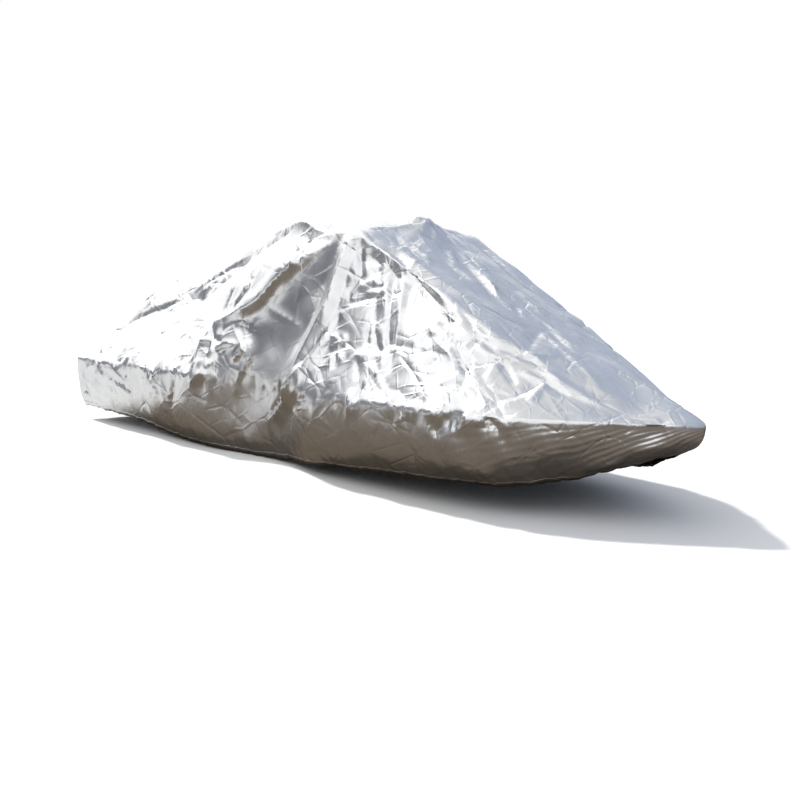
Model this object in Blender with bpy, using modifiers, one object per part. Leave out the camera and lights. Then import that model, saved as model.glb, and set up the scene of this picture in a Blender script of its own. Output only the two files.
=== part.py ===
"""Fitted storage cover of silver coated cloth, drawn tight from stern to bow.

One sheet, open underneath. Its upper cloth runs over a long narrow hump, up to two pairs of
peaks and a small knob between the front pair, and down a flat slanting panel to the bow. At
the rim it turns down into a skirt, whose elastic hem is pulled in all round.

While it is shaped, x runs forward from the stern, y to the port side, and heights are
measured from the rim at the stern. At the end the cover is moved so that the world's origin
is on the underside of its highest point, which is where it is held up. Metres, +Z up.
"""

import bisect
import math

import bmesh
import bpy
import numpy as np
from mathutils import Vector

# ---- driving dimensions ---------------------------------------------------------------
LENGTH = 3.62            # stern to bow tip
CLOTH = 0.002            # thickness of the coated cloth
CROWN = (1.90, 0.810)    # x and height of the highest point
STERN_CORNER = 0.12      # how far from a stern corner the skirt starts to turn round it
BOW_TURN = 3.05          # x where the skirt starts to turn round the bow

STATIONS = 60            # rows of mesh from stern to bow
SKIRT_ROWS = 4           # rows of mesh from the rim down to the hem
WELD = 0.0001            # merge distance for the row that closes at the bow


def table(columns, *rows):
    """A table with named columns, one row for each section, point or fold."""
    return {name: [row[i] for row in rows] for i, name in enumerate(columns.split())}


# Half width of the rim, seen from above.
PLAN = table("x half",
             (0.00, 0.597), (0.05, 0.603), (0.30, 0.612), (0.80, 0.617), (1.80, 0.618),
             (2.30, 0.615), (2.60, 0.606), (2.80, 0.588), (2.95, 0.553), (3.08, 0.493),
             (3.20, 0.405), (3.30, 0.318), (3.40, 0.225), (3.48, 0.150), (3.54, 0.095),
             (3.585, 0.055), (3.61, 0.022), (3.62, 0.0))

# Cross sections. From the centre line outwards each has five points: the crest on the
# centre line, the ridge, the waist and the foot on the side below it, and the rim.
SECTIONS = table(
    "x     rim_up crest_up ridge_out ridge_up waist_out waist_up foot_out foot_up",
    (0.00, 0.000, 0.000, 0.440, 0.000, 0.495, 0.000, 0.548, 0.000),   # stern edge
    (0.08, 0.000, 0.150, 0.475, 0.100, 0.510, 0.070, 0.555, 0.035),
    (0.17, 0.001, 0.290, 0.400, 0.200, 0.460, 0.125, 0.535, 0.060),
    (0.30, 0.003, 0.420, 0.300, 0.375, 0.405, 0.220, 0.510, 0.100),
    (0.42, 0.004, 0.470, 0.230, 0.450, 0.380, 0.265, 0.500, 0.125),   # back of the hump
    (0.50, 0.005, 0.490, 0.210, 0.468, 0.365, 0.285, 0.495, 0.140),
    (0.75, 0.010, 0.550, 0.205, 0.515, 0.360, 0.315, 0.495, 0.150),
    (1.00, 0.014, 0.620, 0.215, 0.575, 0.375, 0.340, 0.505, 0.165),   # front of the hump
    (1.25, 0.019, 0.720, 0.265, 0.670, 0.430, 0.320, 0.540, 0.160),
    (1.45, 0.022, 0.780, 0.335, 0.735, 0.440, 0.390, 0.540, 0.190),
    (1.68, 0.026, 0.805, 0.380, 0.757, 0.425, 0.480, 0.535, 0.225),   # rear pair of peaks
    (1.88, 0.029, 0.810, 0.370, 0.715, 0.410, 0.490, 0.525, 0.228),
    (2.07, 0.032, 0.770, 0.362, 0.713, 0.425, 0.490, 0.520, 0.225),   # front pair of peaks
    (2.20, 0.034, 0.700, 0.356, 0.655, 0.435, 0.440, 0.520, 0.225),
    (2.50, 0.038, 0.535, 0.345, 0.515, 0.435, 0.335, 0.520, 0.180),
    (2.80, 0.041, 0.385, 0.320, 0.370, 0.415, 0.255, 0.505, 0.150),
    (3.05, 0.043, 0.275, 0.265, 0.243, 0.350, 0.170, 0.440, 0.105),
    (3.25, 0.045, 0.203, 0.180, 0.158, 0.240, 0.118, 0.300, 0.080),
    (3.42, 0.046, 0.140, 0.095, 0.098, 0.130, 0.074, 0.165, 0.055),
    (3.56, 0.046, 0.080, 0.028, 0.072, 0.048, 0.062, 0.064, 0.053),
    (3.62, 0.045, 0.045, 0.000, 0.045, 0.000, 0.045, 0.000, 0.045))   # bow tip
SIDE_POINTS = ("ridge", "waist", "foot")
POINT_COLUMNS = (0, 5, 9, 13, 16)    # the mesh column on which each of the five points lies

# The skirt: how far the hem hangs below the rim and is pulled in under it.
HEM = table("x drop tuck",
            (0.00, 0.270, 0.045), (0.30, 0.280, 0.070), (0.60, 0.300, 0.090),
            (0.90, 0.340, 0.100), (1.50, 0.360, 0.105), (2.00, 0.332, 0.110),
            (2.50, 0.300, 0.120), (2.90, 0.285, 0.140), (3.20, 0.255, 0.130),
            (3.40, 0.205, 0.115), (3.52, 0.160, 0.105), (3.62, 0.120, 0.110))

# The skirt's own curve, as shares of the drop and of the tuck.
SKIRT = table("down drop tuck",
              (0.00, 0.00, 0.00), (0.25, 0.27, 0.02), (0.50, 0.53, 0.12),
              (0.75, 0.78, 0.40), (1.00, 1.00, 1.00))

# Small peaks where the cloth is held up by one hard thing below it.
PEAKS = table("x y up radius",
              (2.15, 0.00, 0.055, 0.14),                                # the knob
              (1.68, -0.38, 0.012, 0.12), (1.70, 0.37, 0.012, 0.12),    # rear pair
              (2.08, -0.36, 0.012, 0.12), (2.07, 0.36, 0.012, 0.12))    # front pair

# Folds, laid out on the cloth as if it were flat: x along it, and out from the centre
# line, with starboard negative. Each runs from one point to another, has a half width at
# either end, and stands up from the cloth, or sinks into it where up is negative.
FOLDS = table(
    "x0   out0   x1    out1   width0 width1 up",
    # starboard: the brow that runs aft and down from the rear peak
    (1.88, -0.45, 1.52, -0.71, 0.08, 0.08, 0.014),
    (1.52, -0.71, 1.20, -0.71, 0.08, 0.07, 0.014),
    (1.20, -0.71, 1.19, -0.95, 0.07, 0.07, 0.012),
    # the fold that falls from the front peak and swings aft over the skirt
    (2.07, -0.42, 2.04, -0.78, 0.07, 0.08, 0.016),
    (2.04, -0.78, 1.94, -1.08, 0.08, 0.09, 0.016),
    (1.94, -1.08, 1.50, -1.43, 0.09, 0.11, 0.018),
    # the hollow between those two, and the bulge low in it
    (1.50, -0.84, 1.90, -0.86, 0.14, 0.12, -0.018),
    (1.31, -0.83, 1.50, -1.03, 0.09, 0.10, 0.022),
    # the long crease along the side of the hump
    (1.60, -0.45, 1.06, -0.32, 0.07, 0.08, -0.014),
    (1.06, -0.32, 0.78, -0.42, 0.09, 0.09, -0.026),
    (0.78, -0.42, 0.32, -0.50, 0.08, 0.08, -0.018),
    # the wedge below the front peak, and the dips in the rim forward of it
    (2.18, -0.42, 2.62, -0.41, 0.06, 0.09, -0.018),
    (2.48, -0.84, 2.60, -0.79, 0.08, 0.08, -0.010),
    (2.88, -0.70, 2.97, -0.76, 0.09, 0.09, -0.024),
    # soft folds over the rim near the stern, and on the skirt
    (0.60, -0.74, 0.93, -1.10, 0.08, 0.08, 0.014),
    (0.45, -0.78, 0.72, -1.06, 0.08, 0.08, -0.014),
    (2.10, -1.03, 2.14, -1.28, 0.07, 0.08, 0.012),
    (2.70, -0.80, 2.67, -1.04, 0.07, 0.07, -0.010),
    (3.59, -0.08, 3.49, -0.45, 0.05, 0.08, 0.012),
    (3.54, -0.16, 3.26, -0.70, 0.06, 0.09, -0.012),
    # the front panel: long shallow folds running forward from the knob
    (2.28, 0.02, 2.66, -0.08, 0.06, 0.07, -0.012),
    (2.66, -0.08, 2.95, -0.14, 0.07, 0.06, -0.010),
    (2.30, -0.16, 2.80, -0.22, 0.07, 0.07, 0.008),
    (2.35, 0.16, 2.95, 0.08, 0.07, 0.07, 0.010),
    (3.05, -0.09, 3.34, -0.18, 0.06, 0.06, 0.008),
    (2.55, 0.34, 2.98, 0.27, 0.16, 0.14, -0.014),
    # port: the same folds, pulled a little otherwise
    (1.90, 0.46, 1.50, 0.70, 0.08, 0.08, 0.013),
    (1.50, 0.70, 1.22, 0.76, 0.08, 0.08, 0.012),
    (2.06, 0.42, 2.10, 0.76, 0.07, 0.09, 0.015),
    (2.10, 0.76, 1.90, 1.12, 0.09, 0.10, 0.017),
    (1.90, 1.12, 1.62, 1.40, 0.09, 0.10, 0.014),
    (1.52, 0.86, 1.88, 0.88, 0.13, 0.13, -0.016),
    (1.36, 0.88, 1.52, 1.06, 0.09, 0.09, 0.018),
    (1.52, 0.44, 0.98, 0.33, 0.08, 0.09, -0.018),
    (0.98, 0.33, 0.66, 0.45, 0.09, 0.08, -0.022),
    (0.66, 0.45, 0.34, 0.50, 0.08, 0.08, -0.014),
    (2.40, 0.62, 2.66, 0.74, 0.08, 0.09, -0.014),
    (0.70, 0.76, 0.86, 1.10, 0.08, 0.09, 0.015),
    (2.32, 0.94, 2.28, 1.20, 0.07, 0.08, 0.012),
    (3.00, 0.64, 2.95, 0.90, 0.08, 0.09, -0.014),
    # the slope down to the stern edge
    (0.02, 0.22, 0.36, 0.10, 0.08, 0.08, 0.012),
    (0.05, -0.28, 0.38, -0.16, 0.08, 0.08, -0.012),
    (0.00, 0.44, 0.26, 0.36, 0.08, 0.08, -0.012))


# ---- the upper cloth ------------------------------------------------------------------
def smooth(rows, name, x):
    """The named column at x: a smooth curve through the rows that never overshoots."""
    xs, ys = rows["x"], rows[name]
    steps = [b - a for a, b in zip(xs, xs[1:])]
    slopes = [(b - a) / h for a, b, h in zip(ys, ys[1:], steps)]
    i = min(max(bisect.bisect_right(xs, x) - 1, 0), len(steps) - 1)

    def tangent(k):
        if k == 0 or k == len(steps):
            return slopes[min(k, len(steps) - 1)]
        before, after = slopes[k - 1], slopes[k]
        return 0.0 if before * after <= 0 else 2 * before * after / (before + after)

    t = (x - xs[i]) / steps[i]
    ease = t * t * (3 - 2 * t)
    bend = steps[i] * t * (1 - t) * (tangent(i) * (1 - t) - tangent(i + 1) * t)
    return ys[i] * (1 - ease) + ys[i + 1] * ease + bend


def section(x):
    """The half section at x: points (out, up) from the centre line to the rim."""
    half = smooth(PLAN, "half", x)
    points = [(0.0, smooth(SECTIONS, "crest_up", x))]
    for name in SIDE_POINTS:
        out = min(smooth(SECTIONS, name + "_out", x), half)
        points.append((out, smooth(SECTIONS, name + "_up", x)))
    points.append((half, smooth(SECTIONS, "rim_up", x)))
    return points


def peak(x, y, peak_x, peak_y, up, radius):
    """How far one peak lifts the cloth at x, y."""
    near = max(0.0, 1 - math.dist((x, y), (peak_x, peak_y)) ** 2 / radius ** 2)
    return up * near * near


def upper_point(x, column):
    """The point of the upper cloth at x in a mesh column, counted from the centre line
    with starboard negative, and how far out it lies when the cloth is flat."""
    points = section(x)
    girths = [0.0]
    for before, after in zip(points, points[1:]):
        girths.append(girths[-1] + math.dist(before, after))
    side = math.copysign(1.0, column)
    y = side * float(np.interp(abs(column), POINT_COLUMNS, [out for out, up in points]))
    z = float(np.interp(abs(column), POINT_COLUMNS, [up for out, up in points]))
    z += sum(peak(x, y, *row) for row in zip(*PEAKS.values()))
    return Vector((x, y, z)), side * float(np.interp(abs(column), POINT_COLUMNS, girths))


# ---- the skirt ------------------------------------------------------------------------
def outward(x, y):
    """The level direction out from the rim at x, y. It fans out round both ends."""
    if x > BOW_TURN:
        way = Vector((x - BOW_TURN, y, 0))
    else:
        corner = smooth(PLAN, "half", x) - STERN_CORNER
        way = Vector((min(x - STERN_CORNER, 0), math.copysign(max(abs(y) - corner, 0), y), 0))
    return way.normalized()


def skirt_point(rim, down):
    """The point of the skirt below a point of the rim, where down is 1 at the hem."""
    drop = smooth(HEM, "drop", rim.x) * float(np.interp(down, SKIRT["down"], SKIRT["drop"]))
    tuck = smooth(HEM, "tuck", rim.x) * float(np.interp(down, SKIRT["down"], SKIRT["tuck"]))
    return rim - outward(rim.x, rim.y) * tuck - Vector((0, 0, drop))


def add_skirt(bm, x_flat, out_flat):
    """Extrude the rim row by row down to the hem."""
    edges = [edge for edge in bm.edges if edge.is_boundary]
    number = bm.verts.layers.int.new("rim")
    rims = []
    for point in {point for edge in edges for point in edge.verts}:
        point[number] = len(rims)
        rims.append(point.co.copy())
    for row in range(1, SKIRT_ROWS + 1):
        made = bmesh.ops.extrude_edge_only(bm, edges=edges)["geom"]
        edges = [item for item in made if isinstance(item, bmesh.types.BMEdge)]
        for point in [item for item in made if isinstance(item, bmesh.types.BMVert)]:
            rim = rims[point[number]]
            lower = skirt_point(rim, row / SKIRT_ROWS)
            run = outward(rim.x, rim.y) * (lower - point.co).length
            point[x_flat] += run.x
            point[out_flat] += run.y
            point.co = lower
        edges = [edge for edge in edges if edge.is_boundary]


# ---- the folds ------------------------------------------------------------------------
def fold(x, out, x0, out0, x1, out1, width0, width1, up):
    """How far one fold lifts the cloth at a point of the flat cloth."""
    run = Vector((x1 - x0, out1 - out0))
    there = Vector((x - x0, out - out0))
    share = min(max(there.dot(run) / run.length_squared, 0.0), 1.0)
    aside = (there - run * share).length / (width0 + (width1 - width0) * share)
    near = max(0.0, 1 - aside * aside)
    return up * near * near


def add_folds(bm, x_flat, out_flat):
    """Move every point out or in along its normal by what the folds give there."""
    bm.normal_update()
    moves = []
    for point in bm.verts:
        lift = sum(fold(point[x_flat], point[out_flat], *row) for row in zip(*FOLDS.values()))
        moves.append(point.normal * lift)
    for point, move in zip(bm.verts, moves):
        point.co += move


# ---- the cover ------------------------------------------------------------------------
def cloth_mesh():
    """The whole cloth as one open sheet with its outer side facing out."""
    bm = bmesh.new()
    x_flat = bm.verts.layers.float.new("x_flat")
    out_flat = bm.verts.layers.float.new("out_flat")
    columns = POINT_COLUMNS[-1]
    bmesh.ops.create_grid(bm, x_segments=STATIONS, y_segments=2 * columns, size=1)
    for point in bm.verts:
        x = LENGTH * (1 + point.co.x) / 2
        point.co, point[out_flat] = upper_point(x, round(point.co.y * columns))
        point[x_flat] = x
    bmesh.ops.remove_doubles(bm, verts=bm.verts, dist=WELD)
    add_skirt(bm, x_flat, out_flat)
    add_folds(bm, x_flat, out_flat)
    mesh = bpy.data.meshes.new("cover")
    bm.to_mesh(mesh)
    bm.free()
    return mesh


def silver_cloth():
    """Woven cloth with a silver coating on its outer side."""
    material = bpy.data.materials.new("silver coated cloth")
    material.use_nodes = True
    shader = material.node_tree.nodes["Principled BSDF"]
    shader.inputs["Base Color"].default_value = (0.62, 0.63, 0.65, 1)
    shader.inputs["Metallic"].default_value = 0.85
    shader.inputs["Roughness"].default_value = 0.38
    return material


def build():
    """Clear the scene and make the cover."""
    for item in list(bpy.data.objects):
        bpy.data.objects.remove(item, do_unlink=True)
    collection = bpy.data.collections.new("fitted cover")
    bpy.context.scene.collection.children.link(collection)

    mesh = cloth_mesh()
    mesh.materials.append(silver_cloth())
    mesh.shade_smooth()
    cover = bpy.data.objects.new("cover", mesh)
    collection.objects.link(cover)
    thickness = cover.modifiers.new("cloth", "SOLIDIFY")
    thickness.thickness = CLOTH
    thickness.offset = -1
    crown_x, crown_up = CROWN
    cover.location = (-crown_x, 0, CLOTH - crown_up)


build()
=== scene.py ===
import math
import random

import bmesh
import bpy
import numpy as np
from mathutils import Matrix, Vector, noise
from mathutils.bvhtree import BVHTree
from mathutils.kdtree import KDTree


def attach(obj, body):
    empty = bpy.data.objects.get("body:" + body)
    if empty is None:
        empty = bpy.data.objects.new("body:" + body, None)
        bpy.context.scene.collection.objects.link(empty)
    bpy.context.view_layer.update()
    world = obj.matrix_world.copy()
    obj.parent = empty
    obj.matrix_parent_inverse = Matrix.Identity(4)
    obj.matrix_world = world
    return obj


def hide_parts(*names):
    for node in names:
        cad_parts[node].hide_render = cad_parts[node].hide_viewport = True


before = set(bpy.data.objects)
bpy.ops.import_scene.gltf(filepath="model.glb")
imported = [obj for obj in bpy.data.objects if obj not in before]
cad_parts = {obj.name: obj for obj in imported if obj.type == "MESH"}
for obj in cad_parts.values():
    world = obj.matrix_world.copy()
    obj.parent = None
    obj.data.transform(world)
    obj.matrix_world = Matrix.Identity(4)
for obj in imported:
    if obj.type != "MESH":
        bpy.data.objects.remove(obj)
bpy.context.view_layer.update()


# ---- the view -------------------------------------------------------------------------
# The camera stands off the starboard bow, a little above the hem, as in the photograph:
# 51 mm lens on a 36 mm frame, looking aft and across at 47 degrees, 7.4 degrees down.

CAMERA_AT = Vector((3.917, -3.551, -0.178))
CAMERA_TURN = 0.8217     # radians, as the next two
CAMERA_DOWN = 0.1295
CAMERA_ROLL = 0.0314
LENS = 51.02             # mm, as the next
FRAME_WIDE = 36

forward = Vector((-math.sin(CAMERA_TURN) * math.cos(CAMERA_DOWN),
                  math.cos(CAMERA_TURN) * math.cos(CAMERA_DOWN),
                  -math.sin(CAMERA_DOWN)))
level = Vector((math.cos(CAMERA_TURN), math.sin(CAMERA_TURN), 0))
upright = level.cross(forward)
across = math.cos(CAMERA_ROLL) * level + math.sin(CAMERA_ROLL) * upright
above = math.cos(CAMERA_ROLL) * upright - math.sin(CAMERA_ROLL) * level

camera_data = bpy.data.cameras.new("camera")
camera_data.lens = LENS
camera_data.sensor_width = FRAME_WIDE
camera = bpy.data.objects.new("camera", camera_data)
bpy.context.scene.collection.objects.link(camera)
camera.matrix_world = (Matrix.Translation(CAMERA_AT)
                       @ Matrix((across, above, -forward)).transposed().to_4x4())
bpy.context.scene.camera = camera


# ---- the cloth: its sheet -------------------------------------------------------------
# One shell of thin woven cloth with a silver coating on its outer side, sewn to shape and
# drawn tight. It starts from the outer side of the solid, made finer.

CLOTH = 0.0015           # thickness
SAME_CORNER = 0.0002     # corners of the solid's loose triangles this near are one
HEM_STRIP = 0.003        # faces with a shorter edge close the solid's two walls at the hem
ANY_ANGLE = 3.1          # joins two triangles into a quad however they lie
RIM_TURN = math.radians(28)     # a sharper turn than this between two faces is the rim
RIM_FIRM = 0.85          # how much of that turn stays when the sheet is made finer
SOFT_WAVES = ((0.16, 0.0040), (0.07, 0.0014))    # length and height of the cloth's unevenness


def table(columns, *rows):
    """Rows with named columns."""
    return [dict(zip(columns.split(), row)) for row in rows]


# Where the drawn cloth spans a hollow it sinks in, or stands out where depth is below zero.
# "out" is -1 to starboard and 1 to port; "wide" and "high" are half of the hollow's size.
HOLLOWS = table(
    "x up out wide high depth",
    (-0.30, -0.88, -1, 0.50, 0.50, 0.125),
    (-0.10, -0.57, 1, 0.46, 0.32, 0.045),
    (-0.25, -0.80, 1, 0.48, 0.40, 0.040),
    (-0.24, -0.27, -1, 0.32, 0.15, -0.030),
    (-0.38, -0.06, -1, 0.55, 0.20, 0.045),
    (-0.62, -0.37, -1, 0.30, 0.16, -0.020),
    (0.80, -0.50, -1, 0.34, 0.20, -0.014),
    (0.70, -0.48, 1, 0.36, 0.20, -0.012),
    (-1.35, -0.60, -1, 0.34, 0.12, 0.012),
    (-1.28, -0.60, 1, 0.36, 0.12, 0.014))
MIDDLE = 0.10            # this near the middle of the cover no hollow shows,
MIDDLE_FADE = 0.20       # and this much farther out it shows in full


def outer_side(node):
    """The outer wall of the node's thin solid, as a bmesh of quads."""
    bm = bmesh.new()
    bm.from_mesh(node.data)
    bmesh.ops.remove_doubles(bm, verts=bm.verts, dist=SAME_CORNER)
    strip = [face for face in bm.faces
             if min(edge.calc_length() for edge in face.edges) < HEM_STRIP]
    bmesh.ops.delete(bm, geom=strip, context="FACES_ONLY")
    walls = []
    left = set(bm.verts)
    while left:
        wall = {left.pop()}
        reached = list(wall)
        while reached:
            point = reached.pop()
            for edge in point.link_edges:
                other = edge.other_vert(point)
                if edge.link_faces and other in left:
                    left.discard(other)
                    wall.add(other)
                    reached.append(other)
        walls.append(wall)
    two_largest = sorted(walls, key=len)[-2:]
    outer = max(two_largest, key=lambda wall: max(point.co.z for point in wall))
    inner = [point for point in bm.verts if point not in outer]
    bmesh.ops.delete(bm, geom=inner, context="VERTS")
    bmesh.ops.join_triangles(bm, faces=bm.faces, angle_face_threshold=ANY_ANGLE,
                             angle_shape_threshold=ANY_ANGLE, cmp_seam=False, cmp_sharp=False,
                             cmp_uvs=False, cmp_vcols=False, cmp_materials=False)
    return bm


def made_finer(bm, levels):
    """The sheet with each quad split smoothly, and a firm turn kept along the rim."""
    firm = bm.edges.layers.float.new("crease_edge")
    for edge in bm.edges:
        if not edge.is_boundary and edge.calc_face_angle(0) > RIM_TURN:
            edge[firm] = RIM_FIRM
    coarse = bpy.data.meshes.new("coarse cloth")
    bm.to_mesh(coarse)
    bm.free()
    holder = bpy.data.objects.new("coarse cloth", coarse)
    bpy.context.scene.collection.objects.link(holder)
    finer = holder.modifiers.new("finer", "SUBSURF")
    finer.levels = levels
    finer.render_levels = levels
    bpy.context.view_layer.update()
    ready = holder.evaluated_get(bpy.context.evaluated_depsgraph_get())
    fine = bpy.data.meshes.new_from_object(ready)
    bpy.data.objects.remove(holder)
    bpy.data.meshes.remove(coarse)
    bm = bmesh.new()
    bm.from_mesh(fine)
    bpy.data.meshes.remove(fine)
    return bm


bm = made_finer(outer_side(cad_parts["cover"]), levels=2)
bm.normal_update()
for point in bm.verts:
    wave = sum(height * noise.noise(point.co / length) for length, height in SOFT_WAVES)
    point.co += point.normal * wave
    for dip in HOLLOWS:
        past = ((point.co.x - dip["x"]) / dip["wide"]) ** 2
        past += ((point.co.z - dip["up"]) / dip["high"]) ** 2
        share = min((point.co.y * dip["out"] - MIDDLE) / MIDDLE_FADE, 1)
        if past < 1 and share > 0:
            point.co.y -= dip["out"] * dip["depth"] * share * (1 - past) ** 2
bm.normal_update()
smooth_cloth = BVHTree.FromBMesh(bm)


# ---- the cloth: its creases -----------------------------------------------------------
# Coated cloth keeps every crease. The large ones follow the photograph; each is a path on
# the cloth, seen square on from one side, and its line is cut into the sheet so that it
# stays crisp. "up" is its height, below zero for a trough, and "lean" makes one flank wide.

# Each look gives the start of a ray, outside the cover, and its way.
LOOKS = {"starboard": lambda x, up: (Vector((x, -2, up)), Vector((0, 1, 0))),
         "port": lambda x, up: (Vector((x, 2, up)), Vector((0, -1, 0))),
         "top": lambda x, y: (Vector((x, y, 1)), Vector((0, 0, -1))),
         "stern": lambda y, up: (Vector((-3, y, up)), Vector((1, 0, 0)))}
END_FADE = 0.3           # share of a crease's length over which each end dies out
TIP_WIDE = 0.4           # share of its width that a crease has at its ends
FLANK = 1.1              # 1 gives flat flanks, more makes them hollow
MOST_LEAN = 0.5          # no flank is wider than the crease's width by more than this share
SPARE = 0.01             # room round a crease's box
THROUGH = 0.06           # cloth this far off along the normal is another part of the sheet
CUT_REACH = 0.03         # faces this near a line are cut by it
CUT_SNAP = 0.003         # corners this near a line are moved onto it
CRISP = math.radians(11)    # a crease's line with a sharper turn than this isn't shaded smooth
# The stretch of the starboard side with the finest creases, where faces are split once more.
FINEST = {"x0": 0.08, "x1": 0.62, "low": -0.58, "high": -0.16, "y1": -0.20}

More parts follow.
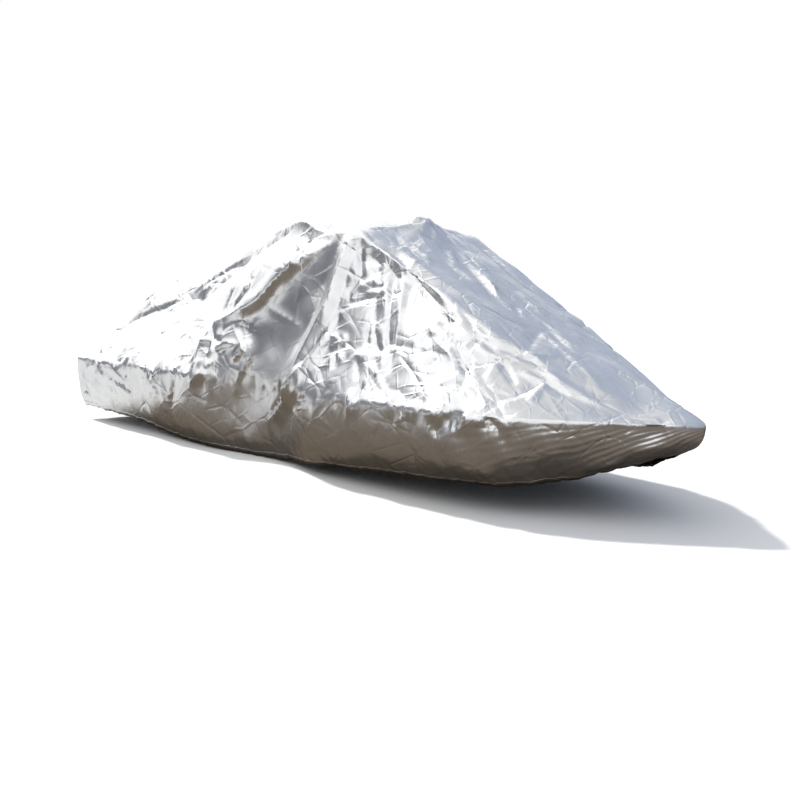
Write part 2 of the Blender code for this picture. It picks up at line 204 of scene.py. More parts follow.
CREASES = table(
    "side up width lean path",
    # the front side panel: its upper edge, and the long wedge below that
    ("top", 0.012, 0.075, 0.3, [(0.19, -0.33), (0.35, -0.29), (0.66, -0.27), (0.85, -0.25),
                                (1.03, -0.20), (1.18, -0.18), (1.39, -0.17)]),
    ("starboard", -0.014, 0.034, 0.2, [(0.30, -0.15), (0.39, -0.19), (0.55, -0.29),
                                       (0.72, -0.40)]),
    # long folds from the wedge's foot to the bow
    ("starboard", -0.008, 0.030, -0.3, [(0.79, -0.38), (0.98, -0.47), (1.10, -0.54)]),
    ("starboard", -0.007, 0.027, 0.3, [(1.01, -0.53), (1.07, -0.55), (1.22, -0.61)]),
    ("starboard", 0.006, 0.030, 0.0, [(1.12, -0.57), (1.30, -0.66), (1.42, -0.72)]),
    ("starboard", -0.009, 0.035, 0.3, [(0.78, -0.38), (0.93, -0.49), (1.03, -0.57)]),
    ("starboard", 0.008, 0.040, -0.2, [(0.60, -0.42), (0.70, -0.45), (0.75, -0.48),
                                       (0.81, -0.53), (0.95, -0.62)]),
    ("starboard", -0.008, 0.030, 0.2, [(0.86, -0.53), (0.91, -0.58), (0.96, -0.63)]),
    ("starboard", -0.006, 0.027, 0.0, [(0.74, -0.46), (0.82, -0.43)]),
    ("starboard", -0.006, 0.027, 0.0, [(0.71, -0.54), (0.73, -0.49)]),
    ("starboard", -0.007, 0.027, 0.2, [(0.77, -0.63), (0.81, -0.58)]),
    # the upright strip behind them, with dark wedges along it
    ("starboard", -0.010, 0.032, 0.3, [(0.41, -0.25), (0.46, -0.36), (0.51, -0.48),
                                       (0.56, -0.62)]),
    ("starboard", 0.007, 0.027, 0.0, [(0.45, -0.24), (0.52, -0.37), (0.57, -0.50),
                                      (0.60, -0.66)]),
    ("starboard", -0.009, 0.027, 0.3, [(0.56, -0.46), (0.58, -0.57), (0.59, -0.66)]),
    ("starboard", -0.006, 0.027, 0.0, [(0.39, -0.36), (0.44, -0.50), (0.52, -0.60)]),
    ("starboard", -0.006, 0.027, 0.0, [(0.25, -0.37), (0.34, -0.33), (0.42, -0.32)]),
    ("starboard", -0.006, 0.027, 0.3, [(0.28, -0.31), (0.33, -0.27), (0.38, -0.25)]),
    ("starboard", -0.006, 0.027, 0.0, [(0.24, -0.40), (0.35, -0.37), (0.43, -0.36)]),
    ("starboard", -0.006, 0.027, 0.0, [(0.45, -0.56), (0.54, -0.58)]),
    # the bright fold that falls from the front peak, and the dark band beside it
    ("starboard", 0.026, 0.070, -0.35, [(0.14, -0.10), (0.16, -0.21), (0.15, -0.32),
                                        (0.14, -0.44), (0.09, -0.57), (0.03, -0.72)]),
    ("starboard", -0.011, 0.027, 0.0, [(0.22, -0.12), (0.24, -0.21), (0.27, -0.28),
                                       (0.23, -0.35), (0.25, -0.39)]),
    ("starboard", -0.008, 0.027, 0.2, [(0.22, -0.44), (0.21, -0.49), (0.20, -0.55)]),
    ("starboard", -0.007, 0.027, 0.2, [(0.22, -0.56), (0.19, -0.61), (0.17, -0.65)]),
    ("starboard", 0.022, 0.050, 0.3, [(0.22, -0.48), (0.12, -0.67), (-0.01, -0.83),
                                      (-0.26, -0.97)]),
    ("starboard", -0.012, 0.030, 0.2, [(0.06, -0.68), (-0.06, -0.80), (-0.23, -0.93)]),
    ("starboard", 0.010, 0.027, 0.0, [(0.11, -0.68), (-0.02, -0.72), (-0.14, -0.76)]),
    # the brow over the hollow, and what shows in the hollow
    ("starboard", 0.022, 0.060, -0.2, [(0.05, -0.14), (-0.16, -0.25), (-0.39, -0.42),
                                       (-0.68, -0.54), (-0.74, -0.66), (-0.71, -0.84)]),
    ("starboard", -0.004, 0.027, 0.0, [(-0.37, -0.43), (-0.24, -0.47), (-0.03, -0.53)]),
    ("starboard", -0.004, 0.030, 0.0, [(-0.12, -0.30), (-0.10, -0.51)]),
    ("starboard", 0.004, 0.027, 0.0, [(-0.16, -0.29), (-0.27, -0.43)]),
    ("starboard", -0.010, 0.030, 0.3, [(-0.51, -0.35), (-0.58, -0.43), (-0.62, -0.50)]),
    ("starboard", 0.011, 0.027, 0.2, [(-0.50, -0.71), (-0.45, -0.66), (-0.41, -0.61)]),
    ("starboard", 0.009, 0.027, 0.0, [(-0.67, -0.69), (-0.57, -0.63), (-0.47, -0.63)]),
    ("starboard", 0.012, 0.032, 0.3, [(-0.72, -0.84), (-0.66, -0.75), (-0.60, -0.71)]),
    ("starboard", -0.008, 0.027, 0.0, [(-0.51, -0.26), (-0.57, -0.34)]),
    ("starboard", -0.006, 0.027, 0.0, [(-0.68, -0.33), (-0.74, -0.52)]),
    # the hump's long crease, and the edge below it
    ("starboard", -0.007, 0.027, 0.2, [(-0.27, -0.07), (-0.53, -0.17), (-0.93, -0.28),
                                       (-1.09, -0.35), (-1.21, -0.44)]),
    ("starboard", -0.007, 0.027, 0.2, [(-1.25, -0.46), (-1.41, -0.51), (-1.60, -0.58)]),
    ("starboard", 0.009, 0.045, 0.0, [(-1.42, -0.49), (-1.58, -0.62), (-1.73, -0.74),
                                      (-1.85, -0.80)]),
    # the stern quarter
    ("starboard", -0.010, 0.027, 0.2, [(-1.47, -0.89), (-1.28, -0.95)]),
    ("starboard", 0.012, 0.040, 0.3, [(-1.23, -0.76), (-1.08, -0.85), (-0.96, -0.98),
                                      (-0.90, -1.02)]),
    ("starboard", -0.008, 0.027, 0.2, [(-0.88, -0.72), (-0.87, -0.86), (-0.92, -1.02)]),
    ("starboard", 0.008, 0.030, 0.0, [(-0.97, -0.70), (-0.98, -0.86), (-0.93, -1.00)]),
    ("starboard", -0.008, 0.027, 0.0, [(-1.84, -0.83), (-1.82, -0.93), (-1.79, -1.03)]),
    # the skirt
    ("starboard", 0.007, 0.027, 0.0, [(0.16, -0.79), (0.16, -0.95)]),
    ("starboard", 0.007, 0.027, 0.0, [(0.25, -0.79), (0.23, -0.94)]),
    ("starboard", -0.007, 0.027, 0.0, [(0.80, -0.76), (0.79, -0.87), (0.76, -1.00)]),
    ("starboard", -0.007, 0.027, 0.0, [(0.91, -0.75), (0.92, -0.84), (0.92, -0.98)]),
    ("starboard", -0.010, 0.027, 0.2, [(1.12, -0.76), (1.17, -0.82), (1.19, -0.90)]),
    ("starboard", -0.006, 0.030, 0.0, [(1.53, -0.75), (1.59, -0.79), (1.61, -0.74)]),
    # the front panel, seen from above: long thin lines that run forward from the knob
    ("top", -0.009, 0.030, 0.0, [(0.27, -0.09), (0.33, -0.02), (0.40, -0.02)]),
    ("top", 0.009, 0.030, 0.0, [(0.37, 0.02), (0.51, -0.09), (0.62, -0.10), (0.70, -0.07)]),
    ("top", 0.009, 0.030, 0.2, [(0.33, 0.07), (0.53, 0.02), (0.71, -0.04), (0.92, -0.11)]),
    ("top", 0.009, 0.030, 0.0, [(0.41, 0.09), (0.56, 0.04), (0.73, -0.05)]),
    ("top", -0.009, 0.030, 0.0, [(0.78, 0.00), (0.88, -0.08)]),
    ("top", 0.009, 0.030, 0.0, [(0.70, 0.10), (0.79, 0.08), (0.92, 0.05)]),
    ("top", 0.009, 0.030, 0.2, [(1.03, -0.08), (1.19, -0.13), (1.37, -0.17)]),
    ("top", -0.009, 0.030, 0.0, [(0.92, 0.00), (1.03, -0.03), (1.16, -0.08)]),
    ("top", -0.009, 0.030, 0.0, [(0.23, 0.30), (0.50, 0.24), (0.76, 0.22)]),
    ("top", 0.009, 0.030, 0.0, [(0.95, 0.16), (1.20, 0.10), (1.42, 0.06)]),
    ("top", -0.009, 0.030, 0.0, [(-0.20, 0.30), (0.02, 0.12), (0.20, 0.02)]),
    ("top", 0.009, 0.030, 0.0, [(0.16, -0.30), (0.21, -0.12), (0.24, -0.04)]),
    ("top", 0.009, 0.030, 0.0, [(0.16, 0.30), (0.20, 0.14), (0.24, 0.04)]),
    ("top", 0.009, 0.040, 0.0, [(-0.20, -0.30), (-0.60, -0.12), (-0.95, -0.06)]),
    ("top", -0.009, 0.030, 0.0, [(-0.30, 0.10), (-0.70, 0.05), (-1.10, 0.10)]),
    ("top", 0.009, 0.030, 0.0, [(-1.10, 0.02), (-1.40, -0.02), (-1.70, 0.12)]),
    ("top", -0.009, 0.030, 0.2, [(-1.45, 0.12), (-1.62, 0.22), (-1.84, 0.40)]),
    ("top", -0.009, 0.030, 0.2, [(-1.48, -0.10), (-1.66, -0.20), (-1.82, -0.36)]),
    # the port side: the same kinds of fold, pulled otherwise
    ("top", 0.012, 0.070, -0.3, [(0.20, 0.34), (0.45, 0.31), (0.75, 0.29), (1.00, 0.23),
                                 (1.25, 0.17), (1.42, 0.12)]),
    ("port", -0.013, 0.034, 0.2, [(0.34, -0.17), (0.50, -0.27), (0.66, -0.38)]),
    ("port", -0.009, 0.035, -0.3, [(0.70, -0.36), (0.88, -0.48), (1.06, -0.56)]),
    ("port", 0.008, 0.040, 0.2, [(0.52, -0.40), (0.68, -0.50), (0.86, -0.64)]),
    ("port", -0.009, 0.030, 0.3, [(0.40, -0.26), (0.45, -0.42), (0.47, -0.62)]),
    ("port", 0.007, 0.027, 0.0, [(0.34, -0.28), (0.37, -0.44), (0.36, -0.60)]),
    ("port", -0.007, 0.027, 0.0, [(0.90, -0.58), (1.05, -0.62), (1.20, -0.70)]),
    ("port", 0.012, 0.040, 0.3, [(0.14, -0.11), (0.17, -0.26), (0.18, -0.42),
                                 (0.12, -0.58), (0.02, -0.74)]),
    ("port", 0.010, 0.035, -0.2, [(0.10, -0.66), (-0.04, -0.80), (-0.22, -0.96)]),
    ("port", -0.011, 0.027, 0.0, [(0.24, -0.14), (0.27, -0.28), (0.25, -0.40)]),
    ("port", 0.012, 0.045, -0.3, [(-0.18, -0.19), (-0.40, -0.28), (-0.60, -0.38),
                                  (-0.74, -0.50), (-0.80, -0.64)]),
    ("port", -0.009, 0.027, 0.0, [(-0.30, -0.42), (-0.16, -0.50), (0.02, -0.56)]),
    ("port", -0.012, 0.034, 0.3, [(-0.46, -0.34), (-0.55, -0.45), (-0.58, -0.54)]),
    ("port", 0.010, 0.027, 0.2, [(-0.44, -0.72), (-0.38, -0.66), (-0.30, -0.63)]),
    ("port", -0.013, 0.030, 0.3, [(-0.34, -0.10), (-0.62, -0.20), (-0.95, -0.30),
                                  (-1.20, -0.42)]),
    ("port", -0.010, 0.027, 0.2, [(-1.20, -0.45), (-1.40, -0.52), (-1.58, -0.60)]),
    ("port", 0.011, 0.040, 0.3, [(-1.20, -0.74), (-1.06, -0.84), (-1.00, -1.00)]),
    ("port", -0.008, 0.027, 0.0, [(-0.84, -0.72), (-0.82, -0.88), (-0.86, -1.02)]),
    ("port", -0.009, 0.027, 0.2, [(-1.50, -0.86), (-1.32, -0.94)]),
    ("port", -0.010, 0.027, 0.2, [(1.00, -0.74), (1.04, -0.82), (1.04, -0.92)]),
    # across the stern
    ("stern", -0.010, 0.030, 0.0, [(-0.46, -0.80), (-0.36, -0.90), (-0.30, -1.04)]),
    ("stern", 0.009, 0.030, 0.0, [(-0.16, -0.80), (-0.10, -0.92), (-0.12, -1.06)]),
    ("stern", -0.009, 0.030, 0.2, [(0.14, -0.80), (0.22, -0.92), (0.20, -1.06)]),
    ("stern", 0.010, 0.030, 0.0, [(0.44, -0.80), (0.38, -0.94), (0.40, -1.05)]))

# Knots, where short creases meet like rays. Each is seen at a, b from one side; "reach" and
# "up" are a ray's length and height.
KNOTS = table(
    "side a b rays reach up",
    ("starboard", 1.04, -0.57, 7, 0.13, 0.008),
    ("starboard", 1.21, -0.64, 6, 0.11, 0.008),
    ("starboard", 0.95, -0.62, 5, 0.09, 0.007),
    ("starboard", 0.93, -0.49, 5, 0.07, 0.007),
    ("starboard", 0.27, -0.60, 6, 0.08, 0.007),
    ("starboard", -0.14, -0.19, 6, 0.08, 0.008),
    ("starboard", -0.66, -0.62, 6, 0.09, 0.009),
    ("starboard", -0.54, -0.33, 5, 0.08, 0.008),
    ("starboard", 1.10, -0.76, 5, 0.08, 0.005),
    ("top", 0.25, 0.00, 9, 0.12, 0.007),
    ("port", 0.84, -0.50, 7, 0.13, 0.008),
    ("port", 1.06, -0.62, 6, 0.11, 0.008),
    ("port", 0.24, -0.50, 6, 0.09, 0.007),
    ("port", -0.60, -0.60, 6, 0.10, 0.008),
    ("port", -1.10, -0.70, 5, 0.10, 0.007))

# Stretches of cloth with many small straight creases. Each is a window seen from one side,
# from a0 to a1 and from b0 to b1, with the way that its creases run, how far they turn from
# it, and how many there are.
CRUMPLED = table(
    "side a0 a1 b0 b1 run spread count length width up",
    ("starboard", 0.25, 1.35, -0.74, -0.20, (1.0, -0.55), 0.9, 44, 0.20, 0.036, 0.0036),
    ("starboard", 0.25, 0.70, -0.66, -0.20, (0.3, -1.0), 0.5, 16, 0.16, 0.030, 0.0042),
    ("starboard", -1.60, -0.40, -0.76, -0.30, (1.0, 0.5), 1.1, 40, 0.14, 0.034, 0.0040),
    ("starboard", -1.82, -1.10, -1.02, -0.80, (1.0, -0.6), 0.9, 40, 0.09, 0.024, 0.0045),
    ("starboard", -1.00, 1.55, -1.06, -0.82, (0.2, 1.0), 0.5, 50, 0.13, 0.030, 0.0034),
    ("starboard", -1.80, 1.15, -0.84, -0.74, (0.3, 1.0), 0.7, 60, 0.095, 0.028, 0.0095),
    ("starboard", 1.15, 1.60, -0.82, -0.74, (-1.0, -0.4), 0.6, 8, 0.10, 0.030, 0.0035),
    ("top", 0.25, 1.55, -0.28, 0.28, (1.0, -0.12), 0.25, 34, 0.34, 0.030, 0.0040),
    ("top", 0.15, 0.50, -0.26, 0.10, (1.0, -0.60), 0.9, 20, 0.09, 0.022, 0.0034),
    ("top", -1.60, 0.10, -0.34, 0.34, (1.0, 0.10), 0.7, 44, 0.18, 0.032, 0.0038),
    ("top", -1.88, -1.50, -0.45, 0.45, (1.0, 0.0), 0.9, 20, 0.12, 0.026, 0.0034),
    ("port", 0.25, 1.35, -0.74, -0.20, (1.0, -0.55), 0.9, 60, 0.14, 0.030, 0.0055),
    ("port", -1.70, 0.20, -0.76, -0.28, (1.0, 0.4), 1.1, 60, 0.13, 0.032, 0.0042),
    ("port", -1.82, 1.55, -1.06, -0.82, (0.2, 1.0), 0.5, 70, 0.13, 0.030, 0.0034),
    ("port", -1.80, 1.60, -0.84, -0.74, (0.3, 1.0), 0.7, 60, 0.095, 0.028, 0.0090),
    ("stern", -0.52, 0.52, -1.04, -0.80, (0.1, 1.0), 0.6, 30, 0.12, 0.028, 0.0038))

# The short creases differ by chance: where a value is a pair, it is the least and the most.
RAY_TURN = (-0.3, 0.3)        # share of the angle between two rays of a knot
RAY_LONG = (0.55, 1.15)       # share of the knot's reach
RAY_LEAN = (-0.3, 0.3)
RAY_WIDE = 0.022
SMALL_LONG = (0.35, 1.3)      # shares of the crumpled stretch's length, height and width
SMALL_UP = (0.4, 1.3)
SMALL_WIDE = (0.7, 1.3)
SMALL_LEAN = (-0.4, 0.4)
GATHERS = (0.040, 0.075)      # room along the hem between two gathers
GATHER_LONG = (0.05, 0.14)    # how far up the skirt a gather runs
GATHER_SHARE = (0.5, 1.3)     # share of GATHER_UP
GATHER_UP = 0.0045
GATHER_WIDE = 0.020


def on_cloth(side, a, b):
    """The place on the cloth that is seen at a, b from one side."""
    eye, way = LOOKS[side](a, b)
    return smooth_cloth.ray_cast(eye, way)[0]


def placed(side, path):
    """A hand-placed path, laid on the cloth."""
    return [on_cloth(side, a, b) for a, b in path]


def small_creases(dice):
    """The short creases of the knots and of the crumpled stretches."""
    made = []
    for knot in KNOTS:
        turn = dice.uniform(0, math.tau)
        for ray in range(knot["rays"]):
            angle = turn + math.tau * (ray + dice.uniform(*RAY_TURN)) / knot["rays"]
            reach = knot["reach"] * dice.uniform(*RAY_LONG)
            tip = (knot["a"] + reach * math.cos(angle), knot["b"] + reach * math.sin(angle))
            ends = [on_cloth(knot["side"], knot["a"], knot["b"]), on_cloth(knot["side"], *tip)]
            up = knot["up"] * (1 if ray % 2 else -1)
            if ends[1] is not None and (ends[1] - ends[0]).length < 2 * reach:
                made.append((ends, up, RAY_WIDE, dice.uniform(*RAY_LEAN), False))
    for patch in CRUMPLED:
        run_a, run_b = patch["run"]
        for number in range(patch["count"]):
            a = dice.uniform(patch["a0"], patch["a1"])
            b = dice.uniform(patch["b0"], patch["b1"])
            angle = math.atan2(run_b, run_a) + dice.gauss(0, patch["spread"] / 2)
            half = patch["length"] * dice.uniform(*SMALL_LONG) / 2
            step_a, step_b = half * math.cos(angle), half * math.sin(angle)
            share = dice.uniform(*SMALL_UP)
            up = patch["up"] * share * dice.choice((-1, 1))
            width = patch["width"] * dice.uniform(*SMALL_WIDE)
            ends = [on_cloth(patch["side"], a + k * step_a, b + k * step_b) for k in (-1, 1)]
            if None not in ends and (ends[1] - ends[0]).length < 4 * half:
                made.append((ends, up, width, dice.uniform(*SMALL_LEAN), True))
    return made


def hem_gathers(bm, dice):
    """Short creases that run up the skirt from the hem, unevenly spaced along it."""
    start = next(edge for edge in bm.edges if edge.is_boundary).verts[0]
    point, before, gone, due, made = start, None, 0.0, 0.0, []
    while True:
        edge = next(e for e in point.link_edges if e.is_boundary and e is not before)
        if gone >= due:
            inward = [e.other_vert(point).co - point.co for e in point.link_edges
                      if not e.is_boundary]
            if inward:
                way = inward[0].normalized()
                reach = dice.uniform(*GATHER_LONG)
                place = smooth_cloth.find_nearest(point.co + way * reach)[0]
                up = GATHER_UP * dice.uniform(*GATHER_SHARE) * dice.choice((-1, 1))
                made.append(([point.co.copy(), place], up, GATHER_WIDE, 0.0, False))
            due = gone + dice.uniform(*GATHERS)
        gone += edge.calc_length()
        before, point = edge, edge.other_vert(point)
        if point is start:
            return made


def stretches(path):
    """The straight stretches of a path: start, length, and the ways along, aside and out."""
    made = []
    for start, end in zip(path, path[1:]):
        run = end - start
        length = run.length
        out = smooth_cloth.find_nearest((start + end) / 2)[1]
        aside = out.cross(run).normalized()
        made.append((start, length, run / length, aside, aside.cross(-run).normalized()))
    return made


def cut_line(bm, corners, near, stretch, line):
    """Cut the faces along a straight stretch, so that the sheet has edges on its line."""
    start, length, run, aside, out = stretch
    middle = start + run * length / 2
    faces = set()
    for place, index, distance in near.find_range(middle, length / 2 + CUT_REACH):
        faces.update(corners[index].link_faces)
    geometry = set()
    for face in faces:
        there = face.calc_center_median() - start
        if (0 < there.dot(run) < length and abs(there.dot(aside)) < CUT_REACH
                and abs(there.dot(out)) < THROUGH):
            geometry.add(face)
            geometry.update(face.edges)
            geometry.update(face.verts)
    made = bmesh.ops.bisect_plane(bm, geom=list(geometry), dist=CUT_SNAP, plane_co=start,
                                  plane_no=aside, use_snap_center=True)
    for item in made["geom_cut"]:
        if isinstance(item, bmesh.types.BMEdge):
            item[line] = 1


def lifts(places, path, up, width, lean, both_ends):
    """How far one crease lifts each place of the cloth."""
    total = sum(length for start, length, run, aside, out in path)
    nearest = np.full(len(places), np.inf)
    lift = np.zeros(len(places))
    gone = 0.0
    for start, length, run, aside, out in path:
        there = places - np.array(start)
        along = there @ np.array(run)
        across = there @ np.array(aside)
        past = along - np.clip(along, 0, length)
        off = np.hypot(across, past)
        share = (gone + np.clip(along, 0, length)) / total
        to_end = np.minimum(share, 1 - share) if both_ends else 1 - share
        ease = np.clip(to_end / END_FADE, 0, 1)
        ease = ease * (2 - ease)
        reach = width * (1 + lean * np.sign(across)) * (TIP_WIDE + (1 - TIP_WIDE) * ease)
        height = up * ease * np.clip(1 - off / reach, 0, 1) ** FLANK
        closer = (off < nearest) & (np.abs(there @ np.array(out)) < THROUGH)
        lift[closer] = height[closer]
        nearest[closer] = off[closer]
        gone += length
    return lift


def crease(bm, creases):
    """Cut every crease's line into the sheet, and then lift or sink the cloth along it."""
    line = bm.edges.layers.int.new("line")
    corners = list(bm.verts)
    near = KDTree(len(corners))
    for index, corner in enumerate(corners):
        near.insert(corner.co, index)
    near.balance()
    creases = [(stretches(path), *shape) for path, *shape in creases]
    for path, *shape in creases:
        for stretch in path:
            cut_line(bm, corners, near, stretch, line)
    many = [face for face in bm.faces if len(face.verts) > 4]
    bmesh.ops.triangulate(bm, faces=many)
    bm.normal_update()
    places = np.array([point.co for point in bm.verts])
    lift = np.zeros(len(places))
    for path, up, width, lean, both_ends in creases:
        ends = [start + run * part for start, length, run, *rest in path for part in (0, length)]
        reach = (1 + MOST_LEAN) * width + SPARE
        low = np.min(np.array(ends), axis=0) - reach
        high = np.max(np.array(ends), axis=0) + reach
        inside = np.all((places > low) & (places < high), axis=1)
        lift[inside] += lifts(places[inside], path, up, width, lean, both_ends)
    for point, up in zip(bm.verts, lift):
        point.co += point.normal * float(up)
    for edge in bm.edges:
        if edge[line] and edge.calc_face_angle(0) > CRISP:
            edge.smooth = False
    bm.edges.layers.int.remove(line)


bmesh.ops.subdivide_edges(bm, cuts=1, use_grid_fill=True, edges=[
    edge for edge in bm.edges
    if all(FINEST["x0"] < end.co.x < FINEST["x1"] and FINEST["low"] < end.co.z < FINEST["high"]
           and end.co.y < FINEST["y1"] for end in edge.verts)])
dice = random.Random(7)
creases = [(placed(row["side"], row["path"]), row["up"], row["width"], row["lean"], True)
           for row in CREASES]
creases += small_creases(dice)
creases += hem_gathers(bm, dice)
crease(bm, creases)

# How far each place is from the hem's edge, for the casing that the finish shows there.
HEM_FAR = 0.2            # a place farther off counts as this far
hem_places = [point.co for point in bm.verts if point.is_boundary]
hem = KDTree(len(hem_places))
for index, place in enumerate(hem_places):
    hem.insert(place, index)
hem.balance()
from_hem = bm.verts.layers.float.new("from_hem")
for point in bm.verts:
    point[from_hem] = min(hem.find(point.co)[2], HEM_FAR)

sheet_mesh = bpy.data.meshes.new("cloth")
for face in bm.faces:
    face.smooth = True
bm.to_mesh(sheet_mesh)
bm.free()
cloth = bpy.data.objects.new("cloth", sheet_mesh)
bpy.context.scene.collection.objects.link(cloth)
thickness = cloth.modifiers.new("cloth", "SOLIDIFY")
thickness.thickness = CLOTH
thickness.offset = -1


# ---- the cloth: its finish ------------------------------------------------------------
# The outer side carries a silver coating that mirrors softly and shows every small crumple;
# the inner side is the bare grey weave. The hem is turned in and stitched as a casing, whose
# elastic draws the cloth into crimps there, and into pleats that fan back from the bow.

SILVER = (0.79, 0.80, 0.815)
SILVER_DULL = (0.72, 0.725, 0.74)
METALLIC = 0.90
GLOSS = (0.34, 0.27)             # roughness where the coating is dull, and where it is fresh
WEAR = {"Scale": 7.0, "Detail": 4.0, "Roughness": 0.6}
DULL = (0.30, 0.55)              # wear at which its colour is dull, and at which it is fresh
ROUGH = (0.30, 0.70)             # the same for its roughness
# Fine creases: how far apart, how wide and high, how much longer than wide their cells are,
# how far down from the bow's way they turn, and how often they start and stop in a metre.
FINE_CREASES = table(
    "apart width height longer turn often",
    (0.130, 0.016, 0.0028, 3.2, 0.50, 3.5),
    (0.075, 0.009, 0.0017, 3.0, -0.45, 6.0),
    (0.060, 0.007, 0.0012, 3.0, 1.35, 7.0))
FINE_FLANK = 1.5                 # 1 gives flat flanks, more makes them hollow
SUNK_RAISED = (0.30, 0.70)       # where the noise is this low they are sunk, this high raised
CALM_AT = (-0.16, -0.45, -0.58)  # spanned tight here, so that few fine creases show
CALM_REACH = (0.18, 0.42)        # how far from there they start to show, and show in full
CALM_LEFT = 0.25                 # the share of them that is left there
CASING = (0.030, 0.024)          # from the hem's edge: where the casing starts, and is full
CASING_UP = 0.0020
CRIMPS = 75                      # crimps in a metre
CRIMP_UP = 0.0030
CRIMP_LONG = (1, 1, 0.12)        # stretched upwards
FAN_AT = (1.96, -0.61)           # the bow's pleats fan out from here, in x and height
FAN_COUNT = 170                  # as many as a full turn would hold
FAN_UP = 0.0005
FAN_UNEVEN = 1.8                 # a pleat strays by up to the room of this many
FAN_STRAY = 5.0                  # how often in a metre it does
FAN_REACH = (1.25, 0.60)         # how far aft of there they die out, and are full
FAN_TOP = (-0.775, -0.805)       # heights at which they start below the rim, and are full
BARE_GREY = (0.24, 0.25, 0.265)
BARE_ROUGH = 0.8
THREADS = 160                    # bands of the inner side's weave
THREAD_HIGH = 0.0003
THREAD_SHOWN = 0.5


def add_node(tree, kind, settings=None, **values):
    """A new node with its settings, and values for the inputs that the names give."""
    made = tree.nodes.new(kind)
    for name, value in (settings or {}).items():
        setattr(made, name, value)
    for name, value in values.items():
        made.inputs[name.replace("_", " ")].default_value = value
    return made


def worked_out(tree, operation, *values):
    """What a calculation gives, from values that are each a link or a number."""
    made = add_node(tree, "ShaderNodeMath", {"operation": operation})
    for socket, value in zip(made.inputs, values):
        if isinstance(value, (int, float)):
            socket.default_value = value
        else:
            tree.links.new(value, socket)
    return made.outputs[0]


def ramp(tree, source, start, end, low=0.0, high=1.0, step="LINEAR"):
    """From low to high as the source goes from start to end, and level beyond them."""
    made = add_node(tree, "ShaderNodeMapRange", {"interpolation_type": step},
                    From_Min=start, From_Max=end, To_Min=low, To_Max=high)
    tree.links.new(source, made.inputs["Value"])
    return made.outputs["Result"]


def pattern(tree, kind, place, settings=None, **values):
    """A texture or mapping node, linked to the place that it reads."""
    made = add_node(tree, kind, settings, **values)
    tree.links.new(place, made.inputs["Vector"])
    return made


def blend(tree, share, first, second):
    """From the first colour to the second, by share; each is a link or a colour."""
    made = add_node(tree, "ShaderNodeMix", {"data_type": "RGBA"})
    tree.links.new(share, made.inputs["Factor"])
    for name, colour in (("A", first), ("B", second)):
        if isinstance(colour, tuple):
            made.inputs[name].default_value = (*colour, 1)
        else:
            tree.links.new(colour, made.inputs[name])
    return made.outputs["Result"]


def fine_creases(tree, place, apart, width, height, longer, turn, often):
    """Long thin creases in metres, some raised and some sunk, that start and stop."""
    drawn = pattern(tree, "ShaderNodeMapping", place, {"vector_type": "TEXTURE"},
                    Scale=(longer, 1, 1), Rotation=(0, turn, 0))
    lines = pattern(tree, "ShaderNodeTexVoronoi", drawn.outputs["Vector"],
                    {"feature": "DISTANCE_TO_EDGE"}, Scale=1 / apart)
    flank = ramp(tree, lines.outputs["Distance"], 0.0, width / apart, 1.0, 0.0)
    stirred = pattern(tree, "ShaderNodeTexNoise", place, Scale=often, Detail=1.0)
    side = ramp(tree, stirred.outputs["Fac"], *SUNK_RAISED, -height, height)
    return worked_out(tree, "MULTIPLY", worked_out(tree, "POWER", flank, FINE_FLANK), side)


def fan_of_pleats(tree, place):
    """The pleats that run back from the bow, side by side, in metres."""
    along = add_node(tree, "ShaderNodeSeparateXYZ")
    tree.links.new(place, along.inputs[0])
    off_x, off_z = (worked_out(tree, "SUBTRACT", along.outputs[name], start)
                    for name, start in zip("XZ", FAN_AT))
    stirred = pattern(tree, "ShaderNodeTexNoise", place, Scale=FAN_STRAY, Detail=1.0)
    stray = worked_out(tree, "MULTIPLY", stirred.outputs["Fac"], FAN_UNEVEN * math.tau)
    angle = worked_out(tree, "ARCTAN2", off_z, off_x)
    turned = worked_out(tree, "MULTIPLY_ADD", angle, FAN_COUNT, stray)
    wave = worked_out(tree, "SINE", turned)
    reach_x = [FAN_AT[0] - reach for reach in FAN_REACH]
    near = ramp(tree, along.outputs["X"], *reach_x, high=FAN_UP, step="SMOOTHSTEP")
    below = ramp(tree, along.outputs["Z"], *FAN_TOP, step="SMOOTHSTEP")
    return worked_out(tree, "MULTIPLY", worked_out(tree, "MULTIPLY", wave, near), below)


def hem_casing(tree, place):
    """The casing's rise along the hem, and the crimps in it, in metres."""
    edge = add_node(tree, "ShaderNodeAttribute", {"attribute_name": "from_hem"})
    inside = ramp(tree, edge.outputs["Fac"], *CASING, step="SMOOTHSTEP")
    drawn = pattern(tree, "ShaderNodeMapping", place, Scale=CRIMP_LONG)
    crimps = pattern(tree, "ShaderNodeTexNoise", drawn.outputs["Vector"], Scale=CRIMPS, Detail=1.0)
    rise = worked_out(tree, "MULTIPLY_ADD", crimps.outputs["Fac"], CRIMP_UP, CASING_UP)
    return worked_out(tree, "MULTIPLY", rise, inside)


def new_material(name):
    """A material, its node tree, its shader, and the places on its piece."""
    made = bpy.data.materials.new(name)
    made.use_nodes = True
    where = add_node(made.node_tree, "ShaderNodeTexCoord").outputs["Object"]
    return made, made.node_tree, made.node_tree.nodes["Principled BSDF"], where


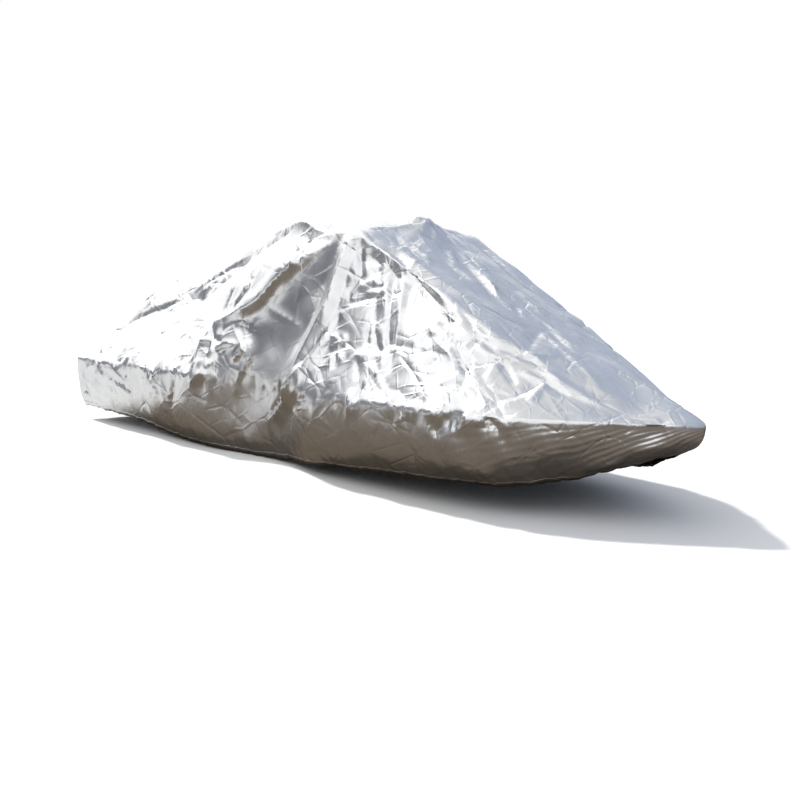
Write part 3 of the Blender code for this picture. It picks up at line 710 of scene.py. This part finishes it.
silver, tree, shader, where = new_material("silver coated cloth")
shader.inputs["Metallic"].default_value = METALLIC
wear = pattern(tree, "ShaderNodeTexNoise", where, **WEAR).outputs["Fac"]
tone = blend(tree, ramp(tree, wear, *DULL), SILVER_DULL, SILVER)
tree.links.new(tone, shader.inputs["Base Color"])
tree.links.new(ramp(tree, wear, *ROUGH, *GLOSS), shader.inputs["Roughness"])
wide, middle, narrow = (fine_creases(tree, where, **shape) for shape in FINE_CREASES)
height = worked_out(tree, "ADD", worked_out(tree, "ADD", wide, middle), narrow)
from_calm = add_node(tree, "ShaderNodeVectorMath", {"operation": "DISTANCE"})
from_calm.inputs[1].default_value = CALM_AT
tree.links.new(where, from_calm.inputs[0])
share = ramp(tree, from_calm.outputs["Value"], *CALM_REACH, CALM_LEFT)
height = worked_out(tree, "MULTIPLY", share, height)
height = worked_out(tree, "ADD", height, hem_casing(tree, where))
height = worked_out(tree, "ADD", height, fan_of_pleats(tree, where))
relief = add_node(tree, "ShaderNodeBump", Strength=1.0, Distance=1.0)
tree.links.new(height, relief.inputs["Height"])
tree.links.new(relief.outputs["Normal"], shader.inputs["Normal"])

bare, tree, shader, where = new_material("bare grey weave")
shader.inputs["Base Color"].default_value = (*BARE_GREY, 1)
shader.inputs["Roughness"].default_value = BARE_ROUGH
threads = [pattern(tree, "ShaderNodeTexWave", where, {"bands_direction": way}, Scale=THREADS)
           for way in ("X", "Z")]
weave = add_node(tree, "ShaderNodeBump", Strength=THREAD_SHOWN, Distance=THREAD_HIGH)
crossed = worked_out(tree, "ADD", *(thread.outputs["Fac"] for thread in threads))
tree.links.new(crossed, weave.inputs["Height"])
tree.links.new(weave.outputs["Normal"], shader.inputs["Normal"])

cloth.data.materials.clear()
cloth.data.materials.append(silver)
cloth.data.materials.append(bare)
thickness.material_offset = 1
thickness.material_offset_rim = 0

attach(cloth, "root")
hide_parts("cover")


# ---- the floor ------------------------------------------------------------------------
# A plain pale floor just below the hem, which isn't part of the cover. The cloth mirrors it
# as brown beside the cover, and as pale beyond the stern.

FLOOR_UP = -1.150
FLOOR_HALF = 60
PALE = (0.85, 0.85, 0.85)
GROUND = (0.102, 0.079, 0.056)      # mirrored beside the cover
GROUND_AFT = (0.60, 0.59, 0.57)     # and beyond the stern
GROUND_TURN = (-1.35, -1.70)        # the x between which one turns into the other


def split_by_ray(tree, output, mirrored, seen):
    """One shader for what the cloth mirrors, and another for what the camera sees."""
    path = add_node(tree, "ShaderNodeLightPath")
    mix = add_node(tree, "ShaderNodeMixShader")
    out = add_node(tree, output)
    tree.links.new(path.outputs["Is Camera Ray"], mix.inputs["Fac"])
    tree.links.new(mirrored.outputs[0], mix.inputs[1])
    tree.links.new(seen.outputs[0], mix.inputs[2])
    tree.links.new(mix.outputs[0], out.inputs["Surface"])


bm = bmesh.new()
bmesh.ops.create_grid(bm, x_segments=1, y_segments=1, size=FLOOR_HALF)
bmesh.ops.translate(bm, verts=bm.verts, vec=(0, 0, FLOOR_UP))
floor_mesh = bpy.data.meshes.new("floor")
bm.to_mesh(floor_mesh)
bm.free()
floor = bpy.data.objects.new("floor", floor_mesh)
bpy.context.scene.collection.objects.link(floor)

pale = bpy.data.materials.new("pale floor")
pale.use_nodes = True
tree = pale.node_tree
tree.nodes.clear()
spot = add_node(tree, "ShaderNodeSeparateXYZ")
tree.links.new(add_node(tree, "ShaderNodeTexCoord").outputs["Object"], spot.inputs[0])
aft = ramp(tree, spot.outputs["X"], *GROUND_TURN, step="SMOOTHSTEP")
mirrored = add_node(tree, "ShaderNodeBsdfDiffuse")
tree.links.new(blend(tree, aft, GROUND, GROUND_AFT), mirrored.inputs["Color"])
seen = add_node(tree, "ShaderNodeBsdfDiffuse", Color=(*PALE, 1))
split_by_ray(tree, "ShaderNodeOutputMaterial", mirrored, seen)
floor.data.materials.append(pale)


# ---- the light ------------------------------------------------------------------------
# A soft sun from aft, and a white backdrop. What the cloth mirrors is a bright sky to
# starboard and aft, a cooler one to port, and dark patches low to starboard.

PORT_SKY = (0.42, 0.48, 0.60)
BRIGHT_SKY = (1.24, 1.24, 1.23)
BRIGHT_WAY = (-0.62, -0.78, 0.0)
BRIGHT_FADE = (-0.24, -0.06)     # share of that way at which the bright sky starts, and is full
ZENITH = (0.80, 0.97)            # rise at which it starts to dim, and is dimmest
ZENITH_DIM = 0.60
CLOUDS = {"Scale": 2.6, "Detail": 2.0}
CLOUD_EDGE = (0.36, 0.60)        # noise at which they are dimmest, and at which brightest
CLOUD_LIGHT = (0.90, 1.06)       # their least and most brightness
HORIZON = (0.22, 0.23, 0.26)
BAND = (0.0, 0.12)               # rise at which the horizon's band starts to fade, and ends
# Round patches of the sky: where they are, half their angle and the angle over which their
# edge fades, in degrees, and their colour.
SKY_PATCHES = table(
    "towards wide soft colour",
    ((-0.800, 0.580, 0.160), 22, 16, (1.24, 1.24, 1.23)),
    ((-0.766, -0.642, 0.035), 29, 8, (0.050, 0.058, 0.085)),
    ((-0.743, -0.624, 0.242), 14, 8, (0.060, 0.070, 0.100)),
    ((-0.400, -0.916, -0.020), 21, 8, (0.060, 0.070, 0.095)))
SUN_WAY = (-0.667, -0.058, 0.743)
SUN_STRENGTH = 3.5
SUN_WIDE = math.radians(5)

world = bpy.data.worlds.new("studio")
bpy.context.scene.world = world
world.use_nodes = True
tree = world.node_tree
tree.nodes.clear()
way = add_node(tree, "ShaderNodeTexCoord").outputs["Generated"]
parts = add_node(tree, "ShaderNodeSeparateXYZ")
tree.links.new(way, parts.inputs[0])
rise = parts.outputs["Z"]


def share_of(direction):
    """How far a view direction points the given way."""
    made = add_node(tree, "ShaderNodeVectorMath", {"operation": "DOT_PRODUCT"})
    made.inputs[1].default_value = Vector(direction).normalized()
    tree.links.new(way, made.inputs[0])
    return made.outputs["Value"]


clouds = pattern(tree, "ShaderNodeTexNoise", way, **CLOUDS).outputs["Fac"]
dimmed = ramp(tree, rise, *ZENITH, 1.0, ZENITH_DIM, "SMOOTHSTEP")
uneven = ramp(tree, clouds, *CLOUD_EDGE, *CLOUD_LIGHT, "SMOOTHSTEP")
brightness = worked_out(tree, "MULTIPLY", dimmed, uneven)
bright = add_node(tree, "ShaderNodeVectorMath", {"operation": "SCALE"})
bright.inputs[0].default_value = BRIGHT_SKY
tree.links.new(brightness, bright.inputs["Scale"])
starboard = ramp(tree, share_of(BRIGHT_WAY), *BRIGHT_FADE, step="SMOOTHSTEP")
sky = blend(tree, starboard, PORT_SKY, bright.outputs[0])
for patch in SKY_PATCHES:
    inside, outside = (math.cos(math.radians(patch["wide"] + half * patch["soft"]))
                       for half in (-0.5, 0.5))
    share = ramp(tree, share_of(patch["towards"]), outside, inside, step="SMOOTHSTEP")
    sky = blend(tree, share, sky, patch["colour"])
colour = blend(tree, ramp(tree, rise, *BAND, step="SMOOTHSTEP"), HORIZON, sky)
mirrored = add_node(tree, "ShaderNodeBackground", Strength=1.0)
tree.links.new(colour, mirrored.inputs["Color"])
backdrop = add_node(tree, "ShaderNodeBackground", Color=(1, 1, 1, 1), Strength=1.0)
split_by_ray(tree, "ShaderNodeOutputWorld", mirrored, backdrop)

sun = bpy.data.lights.new("key", "SUN")
sun.energy = SUN_STRENGTH
sun.angle = SUN_WIDE
key = bpy.data.objects.new("key", sun)
bpy.context.scene.collection.objects.link(key)
key.matrix_world = Vector(SUN_WAY).to_track_quat("Z", "Y").to_matrix().to_4x4()
bpy.context.scene.view_settings.view_transform = "Standard"
